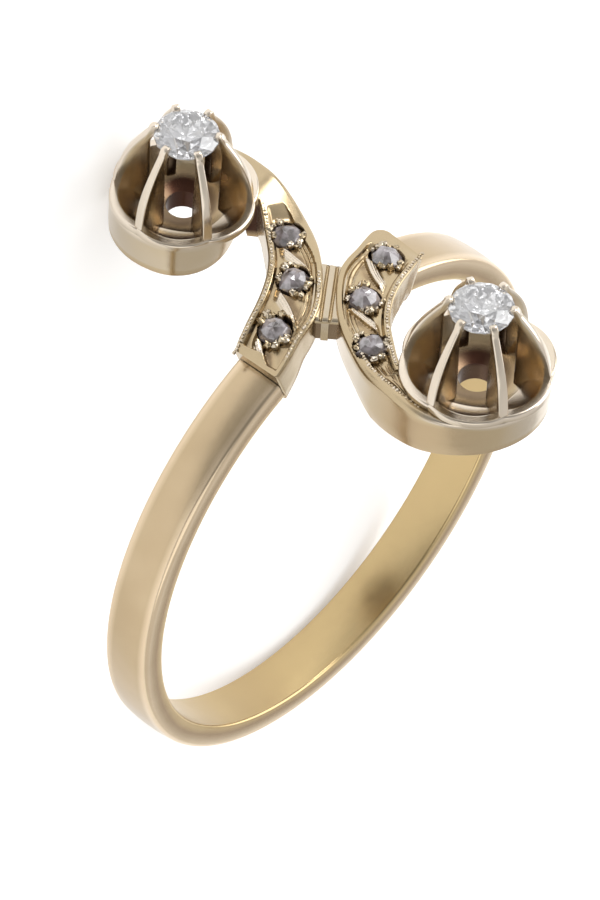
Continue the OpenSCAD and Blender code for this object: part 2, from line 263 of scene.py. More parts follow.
def shank_section():
    """Radius and width of the section, once round: four eased corners and a crowned outer face."""
    outer = BORE_R + SHANK_T - CROWN - OUTER_EDGE
    inner = BORE_R + INNER_EDGE
    far, near = SHANK_W / 2 - OUTER_EDGE, SHANK_W / 2 - INNER_EDGE
    y = np.linspace(-far, far, FACE_STEPS + 2)[1:-1]
    crown = np.column_stack([BORE_R + SHANK_T - CROWN * (y / far) ** 2, y])
    return np.concatenate([crown, corner((outer, far), OUTER_EDGE, 0), corner((inner, near), INNER_EDGE, 90),
                           corner((inner, -near), INNER_EDGE, 180), corner((outer, -far), OUTER_EDGE, 270)])


def shank_surface():
    """The section carried round the finger from one plate end to the other: x = r sin a, z = r cos a."""
    r, y = shank_section().T
    start = TOP_HALF_ANGLE + SEAM / r
    t = np.linspace(0, 1, SHANK_STEPS)[:, None]
    a = start + t * (2 * np.pi - 2 * start)
    return np.stack([r * np.sin(a), np.broadcast_to(y, a.shape), r * np.cos(a)], -1)


def shank_tone():
    """In the section's order: the outer face, an edge, the inner face with its edges, an edge. The edges are
    painted pale as highlights, and the faces darker and deeper in colour as painted shade.
    """
    counts = FACE_STEPS, EDGE_STEPS, 2 * EDGE_STEPS, EDGE_STEPS
    return np.repeat([OUTER_FACE_SHADE, EDGE_HIGHLIGHT, INNER_FACE_SHADE, EDGE_HIGHLIGHT], counts)


shank = make_piece("shank_band", [tube(shank_surface(), shank_tone())], "shank")

# %% [markdown]
# ## The route of an arm
# Each arm starts at the shank's end, swings across the finger and runs into the round drum under a
# setting, as a 6 does. A table of middle points and widths, read from the photograph, is joined by
# a smooth curve. The drum's wall then goes on round the setting at a radius that closes in.

# %% Route
ARM = np.array([[-4.60, -0.10, 1.90], [-3.50, 0.00, 1.90], [-2.35, 0.30, 1.92], [-1.35, 0.57, 2.00],
                [-0.45, 1.10, 1.84], [0.26, 1.74, 1.66], [0.86, 2.54, 1.46], [1.50, 3.58, 1.16],
                [1.90, 4.72, 0.86], [1.99, 5.84, 0.70]])
ARM_END = len(ARM) - 1
SETTING = np.array([-0.46, 5.84])
DRUM_R, DRUM_WALL = 2.4, 0.36
FLARE, FLARE_TURN = 0.39, 25
CURL_IN, CURL_FROM, CURL_TURN = 0.1, 140, 50
TAIL_IN, TAIL_FROM, TAIL_TURN = 0.52, 204, 90
CURL_TO = TAIL_FROM + TAIL_TURN


def arm_at(u):
    """Middle of the arm and its width at u rows along the table."""
    return smooth(ARM, u)


def arm_normal(u):
    """Unit vector from the middle line towards the hollow edge: the heading turned left."""
    step = arm_at(np.minimum(u + 0.02, ARM_END)) - arm_at(np.maximum(u - 0.02, 0))
    n = np.column_stack([-step[:, 1], step[:, 0]])
    return n / np.linalg.norm(n, axis=1, keepdims=True)


def arm_side(u, side, inset=0.0):
    """Point beside the middle line: side is 1 on the hollow edge and -1 on the outer edge."""
    p = arm_at(u)
    return p[:, :2] + arm_normal(u) * (side * (p[:, 2] / 2 - inset))[:, None]


def curl_r(angle):
    """Outer radius of the drum's wall: it dies down from the arm, then closes in to a tail. Degrees."""
    closing = np.clip((angle - TAIL_FROM) / TAIL_TURN, 0, 1)
    return (DRUM_R + FLARE * np.exp(-angle / FLARE_TURN)
            - CURL_IN * np.clip((angle - CURL_FROM) / CURL_TURN, 0, 1)
            - TAIL_IN * (1 - np.cos(np.pi * closing)) / 2)


middle_line = arm_at(np.linspace(0, ARM_END, 400))[:, :2]
print("Length of an arm's middle line in mm:",
      round(float(np.linalg.norm(np.diff(middle_line, axis=0), axis=1).sum()), 2))

# %% [markdown]
# ## Heights of the top
# The arms follow the finger's curve, rise in a ramp to the flat top of the drum, and are hollow
# underneath. The real maker files these from sheet and wire. Here each height is a function of the
# place in plan, so the one surface below can ask for it anywhere.

# %% Heights
ARM_R, DRUM_TOP = 10.0, 10.35
RAMP_FROM, RAMP_TO = 2.3, 4.6
UNDER_FROM, UNDER_DIP, UNDER_SLOPE, CURL_RISE = 3.4, 0.3, np.radians(10.8), 0.48
RIM_H, CUP_DEPTH, SKIRT, LIGHT_HOLE_R, FOOT_W = 0.27, 1.48, 0.15, 0.6, 0.2
FEET_Z = DRUM_TOP + SEAM + RIM_H
DRUM_BORE = DRUM_R - DRUM_WALL
CUP_FLOOR_R = DRUM_BORE - 2 * SEAM


def top_height(x, y):
    """Height of the top: the arms' cylinder, eased up to the drum between two lines across."""
    t = np.clip((y - RAMP_FROM) / (RAMP_TO - RAMP_FROM), 0, 1)
    low = np.sqrt(ARM_R ** 2 - x ** 2)
    return low + (DRUM_TOP - low) * (1 - np.cos(np.pi * t)) / 2


def under_height(x, y, level):
    """Height of the underside: the finger hole, a slope from its brow, and a level part of the curl."""
    bore = np.sqrt(BORE_R ** 2 - x ** 2)
    slope = BORE_R - UNDER_DIP + (y - UNDER_FROM) * np.tan(UNDER_SLOPE)
    under = np.maximum(bore, np.where(y > UNDER_FROM, slope, 0))
    return under * (1 - level) + np.maximum(under, BORE_R + CURL_RISE) * level


def below_cup(plan):
    """Height that a point under the cup may reach: a seam below the cone of the cup's body."""
    r = np.linalg.norm(plan - SETTING, axis=-1)
    foot_r, wall_r = LIGHT_HOLE_R + FOOT_W + SEAM, CUP_FLOOR_R + SEAM
    foot_z, wall_z = FEET_Z - CUP_DEPTH - SEAM, FEET_Z - RIM_H - SKIRT - SEAM
    cone = foot_z + (r - foot_r) * (wall_z - foot_z) / (wall_r - foot_r)
    return np.where(r < wall_r, cone, FEET_Z)


print("Heights over the finger's middle in mm: arms", ARM_R, "drums", DRUM_TOP, "cups", round(FEET_Z, 2))

# %% [markdown]
# ## Stations along the ribbon
# An arm and its drum are one ribbon: cross-sections stand along the arm, then round the drum, and
# each has an outer and an inner point in plan. Beside the drum the arm's hollow edge steps in to the
# drum's bore, which leaves the sharp notch that the real ring has there, and the ribbon ends as a
# tail that closes in under the cup. The joint of arm and curl is filed smooth by a running mean.

# %% Stations
FINE, COARSE, CURL_DEG, DEG_PER_ROW = 0.022, 0.05, 1.6, 45
PLATE_END, NOTCH_AT = 0.918, 7.2
CORNER_R, ROW_MM = (0.06, 0.36), 1.1
SWELL_OUT, SWELL_AT, SWELL_HALF = (0.15, -0.06), 6.3, 1.2


def outer_inset(arm, u):
    """How far the outer edge is drawn in: a quarter circle at the plate's corner, and a filed swell."""
    s = np.clip((u - PLATE_END) * ROW_MM / CORNER_R[arm], 0, 1)
    swell = SWELL_OUT[arm] * np.exp(-((u - SWELL_AT) / SWELL_HALF) ** 2)
    return CORNER_R[arm] * (1 - np.sqrt(1 - (1 - s) ** 2)) - swell


def filed(line, joint, half=14):
    """The line with the kink at its joint worn away by a running mean that fades out on both sides."""
    window = np.hanning(2 * half + 3)[1:-1]
    window /= window.sum()
    mean = np.column_stack([np.convolve(np.pad(line[:, k], half, "edge"), window, "valid") for k in range(2)])
    share = 1 - ease(np.abs(np.arange(len(line)) - joint), half, 2.2 * half)
    return line + (mean - line) * share[:, None]


def stations(arm):
    """Outer and inner points in plan of every section, with u along the arm and the drum's angle."""
    u = np.concatenate([np.arange(PLATE_END, NOTCH_AT, FINE), NOTCH_AT + np.array([0, 0.01]),
                        np.arange(NOTCH_AT + 0.04, ARM_END, COARSE)])
    angle = np.arange(2, CURL_TO + 1, CURL_DEG)
    away = np.column_stack([np.cos(np.radians(angle)), np.sin(np.radians(angle))])
    outer_arm, inner_arm = arm_side(u, -1, outer_inset(arm, u)), arm_side(u, 1)
    from_middle = inner_arm - SETTING
    on_bore = SETTING + from_middle * DRUM_BORE / np.linalg.norm(from_middle, axis=1, keepdims=True)
    inner_arm = np.where(u[:, None] > NOTCH_AT + 0.005, on_bore, inner_arm)
    reach = curl_r(angle)[:, None]
    outer = filed(np.concatenate([outer_arm, SETTING + away * reach]), len(u))
    inner = np.concatenate([inner_arm, SETTING + away * (np.minimum(reach, DRUM_R) - DRUM_WALL)])
    return {"outer": outer, "inner": inner, "u": np.concatenate([u, ARM_END + angle / DEG_PER_ROW]),
            "angle": np.concatenate([np.zeros_like(u), angle])}


routes = [stations(arm) for arm in range(2)]
print("Sections of each ribbon:", len(routes[0]["u"]))

# %% [markdown]
# ## The bright strokes
# Between the small stones a setter cuts slanting strokes with a polished graver, so that they
# flash. They could be separate pieces or booleans. Here they are heights on one fine surface,
# because each is a short formula of the distance along and across the arm. Their flash is a
# painted highlight in the tone, and the pit above each crest is painted shade.

# %% Strokes
STROKES_AT = ((5.02, 3.03, 1.3), (4.98, 2.86))
STROKE_SLOPE, STROKE_H, STROKE_LINES = 0.85, 0.15, 0.13
STROKE_ACROSS, STROKE_ALONG = (0.5, 0.8), (0.55, 0.75)
STEEP, FACET, PIT_BEGINS, PIT_ENDS = (0, 0.09), (0.1, 0.62), (0.03, 0.1), (0.25, 0.6)
# The facet's flash is a painted highlight; the pit and the lines' grooves are painted shade.
PIT_SHADE, FACET_HIGHLIGHT, STROKE_LINE_SHADE, LINE_DEPTH = 0.4, -0.6, -0.12, 0.016


def stroke_facets(arm, u, centre):
    """Height and tone of the bright cuts: s is the distance in rows up the arm from a slanting crest.

    The crest runs from the hollow edge's side, higher up, to the outer edge's side, lower down. Above
    it the metal falls steeply to a pit painted dark as shade; below it a flat facet, painted bright as a
    highlight, slopes away under fine lines whose rises are painted light and grooves dark.
    """
    height, tone = np.zeros(centre.shape), np.zeros(centre.shape)
    for at in STROKES_AT[arm]:
        s = (u - at) - STROKE_SLOPE * centre
        here = (1 - ease(np.abs(centre + 0.05), *STROKE_ACROSS)) * (1 - ease(np.abs(u - at), *STROKE_ALONG))
        facet = np.where(s > 0, 1 - ease(s, *STEEP), 1 - ease(-s, *FACET))
        lines = np.cos(2 * np.pi * s / STROKE_LINES) * ease(s, -0.42, -0.38) * (1 - ease(s, -0.03, 0.0))
        pit = ease(s, *PIT_BEGINS) * (1 - ease(s, *PIT_ENDS))
        height = np.maximum(height, (STROKE_H * facet + LINE_DEPTH * lines) * here)
        # Painted shade in the pit, a painted highlight on the facet, and painted light and shade on the
        # lines.
        tone = tone + here * (PIT_SHADE * pit + FACET_HIGHLIGHT * facet * (s < 0.04) + STROKE_LINE_SHADE * lines)
    return height, tone


print("Strokes on each arm:", [len(at) for at in STROKES_AT])

# %% [markdown]
# ## The field along the arm
# The setter cuts the field down between two rims. It begins near the shank's end, grows shallow and
# fades out by the drum. Fine lines follow its outer rim, and on the second arm three grooves carry
# it on to the drum. A mask could be painted for each, but these run along the arm, so each is a
# short formula of the place along and across it.

# %% Field
RIM_W, RIM_WIDENS, BY_DRUM = 0.2, (0.24, 0.12), (4.6, 6.2)
FIELD_SHALLOW, FIELD_FADE = (0.3, 0.6), ((6.5, 7.0), (8.2, 9.4))
RIM_LINES, DRUM_GROOVES, GROOVE_HALF = 0.125, (-0.5, 0.0, 0.5), 0.13


def rim_width(arm, u):
    """Width of the outer rim, which widens by the drum."""
    return RIM_W + RIM_WIDENS[arm] * ease(u, *BY_DRUM)


def field_along(arm, u, centre):
    """Depth of the field along an arm, from 0 to 1. On the first arm its start slants at one side."""
    start = (1.24 - 0.22 * (1 - ease(centre, -0.6, 0.1)), 1.5)[arm]
    begun = ease(u, start, start + (0.07, 0.3)[arm])
    return begun * (1 - FIELD_SHALLOW[arm] * ease(u, 6.5, 8.2)) * (1 - ease(u, *FIELD_FADE[arm]))


def rim_lines(arm, u, from_rim):
    """Fine lines parallel to the outer rim, between -1 and 1: a cosine that dies out away from it."""
    lines = np.cos(2 * np.pi * from_rim / RIM_LINES) * (1 - ease(from_rim, 0.28, 0.42)) * ease(u, 1.7, 2.2)
    return lines * (1 - ease(u, 6.1, 6.4)) if arm == 0 else lines


def drum_grooves(u, centre):
    """Three bell-shaped grooves that draw together towards the drum."""
    together = 1 - 0.6 * ease(u, 6.8, 8.6)
    grooves = sum(np.exp(-((centre - at * together) / GROOVE_HALF) ** 2) for at in DRUM_GROOVES)
    return grooves * ease(u, 6.6, 6.9) * (1 - ease(u, 8.3, 9.0))


print("Width of the outer rims by the drum in mm:", [round(float(rim_width(arm, 7.0)), 2) for arm in (0, 1)])

# %% [markdown]
# ## The cuts and the seats
# Last, a seat is drilled for each small stone through the cut field, whose floor keeps the graver's
# marks. They could be booleans, one after another. Here each is a depth below the same surface: the
# field, its marks and its lines add up, and a seat counts where it is the deeper. The same formulas
# give the tones: painted shade along the field's rims, in the grooves of its marks and lines, in the
# drum's grooves and in the gap round each seat.

# %% Cuts
ROSES_AT, ROSE_D = ((6.0, 4.0, 2.05), (6.0, 3.92, 1.8)), 1.12
FIELD_DEPTH, SEAT_MORE, MARK_DEPTH, GROOVE_DEPTH = 0.16, 0.14, 0.006, 0.05
# The field by its rims, the grooves of its marks and lines, the drum's grooves and the gap round each seat
# are painted darker, as painted shade.
TOP_TONE, FIELD_TONE, GROOVE_SHADE = 0.3, (0.06, 0.0), 0.4
EDGE_SHADE, MARK_SHADE, LINE_SHADE, SEAT_SHADE = 0.08, 0.06, 0.14, (0.3, 0.48)


def rose_places(arm):
    """Middle of each small stone of an arm in plan, before the half turn."""
    return arm_at(np.array(ROSES_AT[arm]))[:, :2]


def chisel_marks(plan):
    """A hand-cut floor: crossing waves about 0.6 mm long, between -1 and 1."""
    x, y = plan[..., 0], plan[..., 1]
    return (np.sin(11 * x + 6 * y + 2 * np.sin(4 * y)) + np.sin(9 * y - 7 * x + 2 * np.sin(5 * x))) / 2


def cuts(arm, u, across, width, plan):
    """Depth below the rims, and tone. across is the distance from the outer edge in mm."""
    band = rim_width(arm, u)
    inside = ease(across, band, band + 0.05) * ease(width - across, RIM_W, RIM_W + 0.11)
    centre = (across - width / 2) / (width / 2 - RIM_W)
    field = inside * field_along(arm, u, centre)
    height, shade = stroke_facets(arm, u, centre)
    lines, marks = rim_lines(arm, u, across - band), chisel_marks(plan)
    depth = field * (FIELD_DEPTH - height + MARK_DEPTH * marks + LINE_DEPTH * lines)
    edge_shade = 1 - ease(np.minimum(across - band, width - across - RIM_W), 0.05, 0.3)
    field_tone = FIELD_TONE[arm] + EDGE_SHADE * edge_shade + shade + MARK_SHADE * marks + LINE_SHADE * lines
    tone = TOP_TONE * (1 - ease(u, 8.5, 9.5)) + field * field_tone
    # The drum's grooves are painted darker, as painted shade.
    if arm == 1:
        grooves = inside * drum_grooves(u, centre)
        depth, tone = depth + GROOVE_DEPTH * grooves, tone + GROOVE_SHADE * grooves
    # Round each seat the gap is painted dark, as painted shade.
    for place in rose_places(arm):
        r = np.linalg.norm(plan - place, axis=-1) - ROSE_D / 2
        depth = np.maximum(depth, (FIELD_DEPTH + SEAT_MORE) * (1 - ease(r, 0, 0.05)))
        tone = np.maximum(tone, (1 - ease(r, 0.02, 0.13)) * (SEAT_SHADE[0] + SEAT_SHADE[1] * inside))
    return depth, np.clip(tone, 0, 1)


print("The field is", FIELD_DEPTH, "mm deep, and the seats", round(FIELD_DEPTH + SEAT_MORE, 2))
print("Small stones of the first arm in plan:", rose_places(0).round(2).tolist())

# %% [markdown]
# ## The top of the section
# The section runs over the top and round a softened edge on each side. It could be drawn once and
# swept, but its width, its edges and its cuts change all along. So one function gives the points
# over the top for all sections at once, close together by the rims, where the fine cuts are.

# %% Top of the section
TOP_EDGE, SOFTER, RIM_STRIP, NARROW = 0.07, 0.10, 0.36, 0.74
ROUND_STEPS, RIM_STEPS, FIELD_STEPS = 6, 11, 46


def top_columns(u, width):
    """For the points over the top: distances from the outer edge, and drops below the top.

    Each edge is a quarter circle, the outer one softer by the drum. Close steps follow over a strip
    beside it, and even ones between the strips. Where the ribbon is narrow, the edges shrink with it.
    """
    small = np.minimum(1, width / NARROW)
    turn = np.linspace(0, np.pi / 2, ROUND_STEPS)[None, :]
    rim = np.linspace(0, 1, RIM_STEPS)[None, 1:]
    outer = (TOP_EDGE + SOFTER * ease(u, *BY_DRUM) * (1 - ease(u, 9, 10))) * small
    hollow = TOP_EDGE * small
    strip = RIM_STRIP * small
    middle = strip + (width - 2 * strip) * np.linspace(0, 1, FIELD_STEPS)[None, 1:-1]
    across = np.concatenate([outer * (1 - np.cos(turn)), outer + (strip - outer) * rim, middle,
                             (width - hollow - (strip - hollow) * rim)[:, ::-1],
                             (width - hollow * (1 - np.cos(turn)))[:, ::-1]], 1)
    flat = np.zeros((len(u), 2 * (RIM_STEPS - 1) + FIELD_STEPS - 2))
    drop = np.concatenate([outer * (1 - np.sin(turn)), flat, (hollow * (1 - np.sin(turn)))[:, ::-1]], 1)
    return across, drop


print("Points over the top of a section:", 2 * (ROUND_STEPS + RIM_STEPS - 1) + FIELD_STEPS - 2)

# %% [markdown]
# ## The walls and the underside
# On each side a wall drops from the top's edge to an eased edge below, and the underside goes
# straight across between them. Near the shank the sections lean, because there the arm is cut off
# on a plane that points at the finger's middle. A boolean could cut it, but leaning keeps the grid.

# %% Walls and underside
UNDER_EDGE, WALL_STEPS, UNDER_STEPS = 0.05, 7, 6


def side_wall(plan, z_top, level):
    """From an edge of the top straight down to the underside's eased edge."""
    low = under_height(plan[:, 0], plan[:, 1], level)[:, None] + UNDER_EDGE
    z = z_top + (low - z_top) * np.linspace(0, 1, WALL_STEPS)[None, 1:-1]
    return np.concatenate([np.repeat(plan[:, None], WALL_STEPS - 2, 1), z[..., None]], -1)


def underside(route, level):
    """Straight across in plan from the inner edge to the outer edge, at the underside's height."""
    q = np.linspace(UNDER_EDGE, 1 - UNDER_EDGE, UNDER_STEPS)[None, ::-1, None]
    plan = route["outer"][:, None] * (1 - q) + route["inner"][:, None] * q
    z = under_height(plan[..., 0], plan[..., 1], level[:, None])
    return np.concatenate([plan, z[..., None]], -1)


def lean_to_cut(points, u, crest):
    """Draws x in with depth below the crest, and moves the first section on to the cut's plane."""
    lean = 1 - ease(u, 1.5, 3.0)[:, None]
    points[..., 0] *= 1 - lean * (1 - points[..., 2] / crest[:, None])
    to_cut = -points[0, :, 2] * np.tan(TOP_HALF_ANGLE) - points[0, :, 0]
    points[..., 0] += to_cut[None, :] * (1 - ease(u, PLATE_END, PLATE_END + 0.6))[:, None]
    return points


print("Points in a wall:", WALL_STEPS - 2, "and underneath:", UNDER_STEPS)

# %% [markdown]
# ## The arms
# Now the sides are put together, each with its tones. Patches of the outer walls are painted darker
# and warmer as shade, the notch by the drum is painted dark as shade, and the underside is painted
# duller than the top as shade. Paint could do this on a flat map, but a tone at each point follows
# the metal by itself.

# %% Arms
# Painted shade: the notch, the underside and patches of the outer walls are darkened.
OUTER_WALL_TONE, INNER_WALL_TONE, UNDER_SHADE, NOTCH_SHADE = (0.13, 0.0), 0.3, 0.5, 0.65
WALL_SHADE_PATCHES = (((10.6, 0.35, 0.2), (2.5, 1.6, 0.26)), ((8.7, 1.5, 0.62), (2.5, 1.6, 0.2)))
CUT_TO, LEVEL_FROM, LEVEL_TO = 40, 75, 95


def outer_wall_shade(arm, u):
    """Painted shade on the outer wall, darker and warmer: a sum of bells, each with its place, breadth and
    strength.
    """
    return sum(strength * np.exp(-((u - at) / breadth) ** 2) for at, breadth, strength in WALL_SHADE_PATCHES[arm])


def ribbon_surface(arm):
    """All sections at once, a table over (station, column), and their tones."""
    route = routes[arm]
    width = np.linalg.norm(route["inner"] - route["outer"], axis=1)[:, None]
    u = route["u"][:, None]
    across, drop = top_columns(u, width)
    share = (across / width)[:, :, None]
    plan = route["outer"][:, None] * (1 - share) + route["inner"][:, None] * share
    top = np.minimum(top_height(plan[..., 0], plan[..., 1]), below_cup(plan))
    on_arm = route["angle"][:, None] < CUT_TO
    depth, tone = cuts(arm, u, across, width, plan)
    z = top - drop - depth * on_arm
    level = ease(route["angle"], LEVEL_FROM, LEVEL_TO)
    under = underside(route, level)
    points = np.concatenate([np.concatenate([plan, z[..., None]], -1),
                             side_wall(route["inner"], z[:, -1:], level), under,
                             side_wall(route["outer"], z[:, :1], level)[:, ::-1]], 1)
    inner_tone = INNER_WALL_TONE + NOTCH_SHADE * (1 - ease(np.abs(u - NOTCH_AT), 0.02, 0.05))
    outer_tone = OUTER_WALL_TONE[arm] + outer_wall_shade(arm, u)
    walls = [np.repeat(wall_tone, WALL_STEPS - 2, 1) for wall_tone in (inner_tone, outer_tone)]
    tones = np.concatenate([tone * on_arm, walls[0], np.full(under.shape[:2], UNDER_SHADE), walls[1]], 1)
    return lean_to_cut(points, route["u"], top.max(1)), tones


arms = []
for arm in range(2):
    ribbon, ribbon_tone = ribbon_surface(arm)
    arms.append(make_piece(f"arm_{arm + 1}", [tube(half_turn(ribbon, arm == 1), ribbon_tone)],
                           "top_frame"))
print("Box of an arm in mm:", ribbon.reshape(-1, 3).min(0).round(2), ribbon.reshape(-1, 3).max(0).round(2))

# %% [markdown]
# ## The link
# Between the arms a short bar with two grooves joins them. From the front it is a thin plate on a
# narrow pillar, with a dark hollow on either side of it. It is three blocks, each a short profile
# across the bar carried along it: the grooved plate, the pillar, and a core set back between. The
# core is painted dark as the shade in those hollows, and the grooves and undersides darker as shade.

# %% Link
LINK_HEADING, LINK_L, LINK_W, LINK_DROP, LINK_UNDER = np.radians(35), 2.4, 1.0, 0.14, 0.35
GROOVE_W, GROOVE_D, GROOVE_AT = 0.12, 0.05, 0.15
PLATE_T, PILLAR_W, PILLAR_BACK, CORE_BACK, LINK_EDGE = 0.16, 0.24, 0.03, 0.1, 0.05
BELOW_PLATE, GROOVED_COLUMNS, PLAIN_COLUMNS = LINK_DROP + 0.1, 81, 9
# The grooves and undersides are painted darker as shade, and the core dark as the hollows' shade.
LINK_TONE, LINK_SHADE, CORE_SHADE = 0.15, 0.3, 0.84


def link_block(length, width, top_drop, low_r, grooved, columns):
    """Across the bar: v with its height on the finger's cylinders. Along it: a straight run."""
    v = np.linspace(-width / 2, width / 2, columns)
    from_groove = np.abs(np.abs(v) - GROOVE_AT) / (GROOVE_W / 2)
    groove = np.clip(1.4 - 1.4 * from_groove, 0, 1) * grooved
    t = np.linspace(-length / 2, length / 2, 40)[:, None]
    at_end = ease(np.abs(t), length / 2 - LINK_EDGE, length / 2 + 0.02)
    c, k = np.cos(LINK_HEADING), np.sin(LINK_HEADING)
    x, y = t * c - v * k, t * k + v * c
    top = np.sqrt((ARM_R - top_drop) ** 2 - x ** 2) - GROOVE_D * groove - LINK_EDGE * at_end
    low = np.sqrt(low_r ** 2 - x ** 2)
    above, under = np.stack([x, y, top], -1), np.stack([x, y, low], -1)[:, ::-1]
    # Painted shade in the grooves and along the underside.
    tone = np.concatenate([LINK_TONE + LINK_SHADE * groove, np.full(columns, LINK_SHADE)])
    return tube(np.concatenate([above, under], 1), tone)


def link_shells():
    """The grooved plate, the pillar under its ends, and the core between, painted dark as shade."""
    low = BORE_R + LINK_UNDER
    points, groups, tone = link_block(LINK_L - 2 * CORE_BACK, LINK_W, BELOW_PLATE, low, 0, PLAIN_COLUMNS)
    return [link_block(LINK_L, LINK_W, LINK_DROP, ARM_R - LINK_DROP - PLATE_T, 1, GROOVED_COLUMNS),
            link_block(LINK_L - 2 * PILLAR_BACK, PILLAR_W, BELOW_PLATE, low, 0, PLAIN_COLUMNS),
            (points, groups, np.full(len(tone), CORE_SHADE))]


link = make_piece("link", link_shells(), "top_frame")

# %% [markdown]
# ## Milgrain
# A wheel rolled along a rim leaves a row of tiny beads, which is called milgrain. The small stones
# are held by grains, which come next: slivers of the field raised with a graver and rounded with a
# hollow punch. A particle system could scatter both, but they sit at measured places. So each is one
# small ball put where a formula says, with a few dozen faces, since over a hundred of them show.

# %% Beads
BEAD_R, BEAD_STEP, BEAD_SINK = 0.068, 0.135, 0.4
STRAY_ALONG, STRAY_IN_PLAN, STRAY_UP = 0.012, 0.006, 0.008
HOLLOW_RUN, OUTER_RUNS = (1.0, 7.1, 1, 0.12), ((1.3, 4.4, -1, 0.12), (5.6, 8.8, -1, 0.33))


def dome_template(around, rows):
    """A unit ball as a grid of parallels, without its poles: (cos b cos a, cos b sin a, sin b)."""
    a = np.linspace(0, 2 * np.pi, around, endpoint=False)[None, :]
    b = np.linspace(-np.pi / 2, np.pi / 2, rows + 2)[1:-1, None]
    return np.stack([np.cos(b) * np.cos(a), np.cos(b) * np.sin(a), np.sin(b) + 0 * a], -1)


def balls(centres, radii, around, rows, rough, tone, seed):
    """One ball at each centre, its points pushed in and out a little, and its tone up to the given one."""
    template = dome_template(around, rows)
    random = np.random.default_rng(seed)
    shells = []
    for centre, radius in zip(centres, radii):
        bump = 1 + rough * (random.random(template.shape[:2]) - 0.5)
        shells.append(tube(template * bump[..., None] * radius + centre, tone * random.random()))
    return shells


def bead_row(u_from, u_to, side, inset, random):
    """Places of beads at nearly even steps along a rim, each sunk a little into it."""
    u = np.linspace(u_from, u_to, 2000)
    p = arm_side(u, side, inset)
    run = np.concatenate([[0], np.cumsum(np.linalg.norm(np.diff(p, axis=0), axis=1))])
    steps = np.arange(0, run[-1], BEAD_STEP)
    at = np.interp(steps + random.normal(0, STRAY_ALONG, len(steps)), run, u)
    p = arm_side(at, side, inset) + random.normal(0, STRAY_IN_PLAN, (len(steps), 2))
    z = top_height(p[:, 0], p[:, 1]) - BEAD_R * BEAD_SINK + random.normal(0, STRAY_UP, len(steps))
    return np.column_stack([p, z])


def rim_beads(second, random):
    """The beads of one arm: along its hollow edge, and along the part of its outer edge that has them."""
    rows = [bead_row(*run, random) for run in (HOLLOW_RUN, OUTER_RUNS[int(second)])]
    return half_turn(np.concatenate(rows), second)


random = np.random.default_rng(5)
beads = np.concatenate([rim_beads(False, random), rim_beads(True, random)])
bead_radii = BEAD_R * random.uniform(0.85, 1.1, len(beads))
milgrain = make_piece("milgrain", balls(beads, bead_radii, 8, 4, 0.3, 0.2, seed=1), "top_frame")
print("Beads:", len(beads))

# %% [markdown]
# ## Grains
# Each small stone has two clusters of grains: one towards the drum on the hollow side, and one
# towards the shank on the outer side. An even ring of equal balls would look cast. The real ones are
# cut by hand and worn, so their places, sizes and forms are moved a little by a seeded chance.

# %% Grains
FIELD_R = ARM_R - FIELD_DEPTH
GRAINS, CLUSTER_AT, CLUSTER_HALF, CLUSTER_STRAY = 6, np.radians(48), 0.75, 0.12
GRAIN_OUT, GRAIN_UP, GRAIN_R = (-0.12, 0.08), (0.02, 0.13), (0.09, 0.17)


def grain_places(arm, random):
    """Places and radii of the grains round the three small stones of an arm."""
    places, radii = [], []
    for u, middle in zip(ROSES_AT[arm], rose_places(arm)):
        n = arm_normal(np.array([u]))[0]
        ahead = np.array([n[1], -n[0]])
        for sign in (1, -1):
            spread = CLUSTER_AT + np.linspace(-CLUSTER_HALF, CLUSTER_HALF, GRAINS)
            spread = spread + random.normal(0, CLUSTER_STRAY, GRAINS)
            direction = sign * (ahead * np.sin(spread)[:, None] + n * np.cos(spread)[:, None])
            r = ROSE_D / 2 + random.uniform(*GRAIN_OUT, GRAINS)
            p = middle + direction * r[:, None]
            z = np.sqrt(FIELD_R ** 2 - p[:, 0] ** 2) + random.uniform(*GRAIN_UP, GRAINS)
            z += top_height(p[:, 0], p[:, 1]) - np.sqrt(ARM_R ** 2 - p[:, 0] ** 2)
            places.append(np.column_stack([p, z]))
            radii.append(random.uniform(*GRAIN_R, GRAINS))
    return half_turn(np.concatenate(places), arm == 1), np.concatenate(radii)


random = np.random.default_rng(7)
grain_centres, grain_radii = (np.concatenate(part) for part in
                              zip(*[grain_places(arm, random) for arm in range(2)]))
grains = make_piece("grains", balls(grain_centres, grain_radii, 10, 5, 0.55, 0.3, seed=3),
                    "top_frame", sharp=50)

# %% [markdown]
# ## The petals of a setting
# Each setting starts as a cup with six scooped petals inside a rounded rim and a hole through its
# middle. It could be carved with booleans, but they leave long thin faces that show in polished
# metal. Instead one formula gives the rim's radius at every angle, as arcs that swell out between
# the feet of the prongs, and another gives the depth of the scooped floor.

# %% Petals
FEET_R, SWELL, PETALS = 2.44, 0.14, 6
CREST_R = FEET_R + SWELL
PETAL_HALF = np.pi / PETALS
PETAL_AT = (CREST_R ** 2 - FEET_R ** 2) / 2 / (CREST_R - FEET_R * np.cos(PETAL_HALF))
PETAL_ARC = CREST_R - PETAL_AT
LIP_W, SCOOP_DEPTH, BOWL_R, HOLE_TOP = 0.31, 0.5, 3.0, 0.74
SCOOP_Z = ((PETAL_ARC - LIP_W) ** 2 - SCOOP_DEPTH ** 2) / 2 / SCOOP_DEPTH
BOWL_Z = np.sqrt(BOWL_R ** 2 - LIGHT_HOLE_R ** 2) - HOLE_TOP


def off_axis(a):
    """Angle from the middle of the petal that a direction falls in."""
    return a % (2 * PETAL_HALF) - PETAL_HALF


def petal_r(a):
    """Radius of the rim at an angle from a prong foot: arcs that swell out between the feet."""
    b = off_axis(a)
    return PETAL_AT * np.cos(b) + np.sqrt(PETAL_ARC ** 2 - (PETAL_AT * np.sin(b)) ** 2)


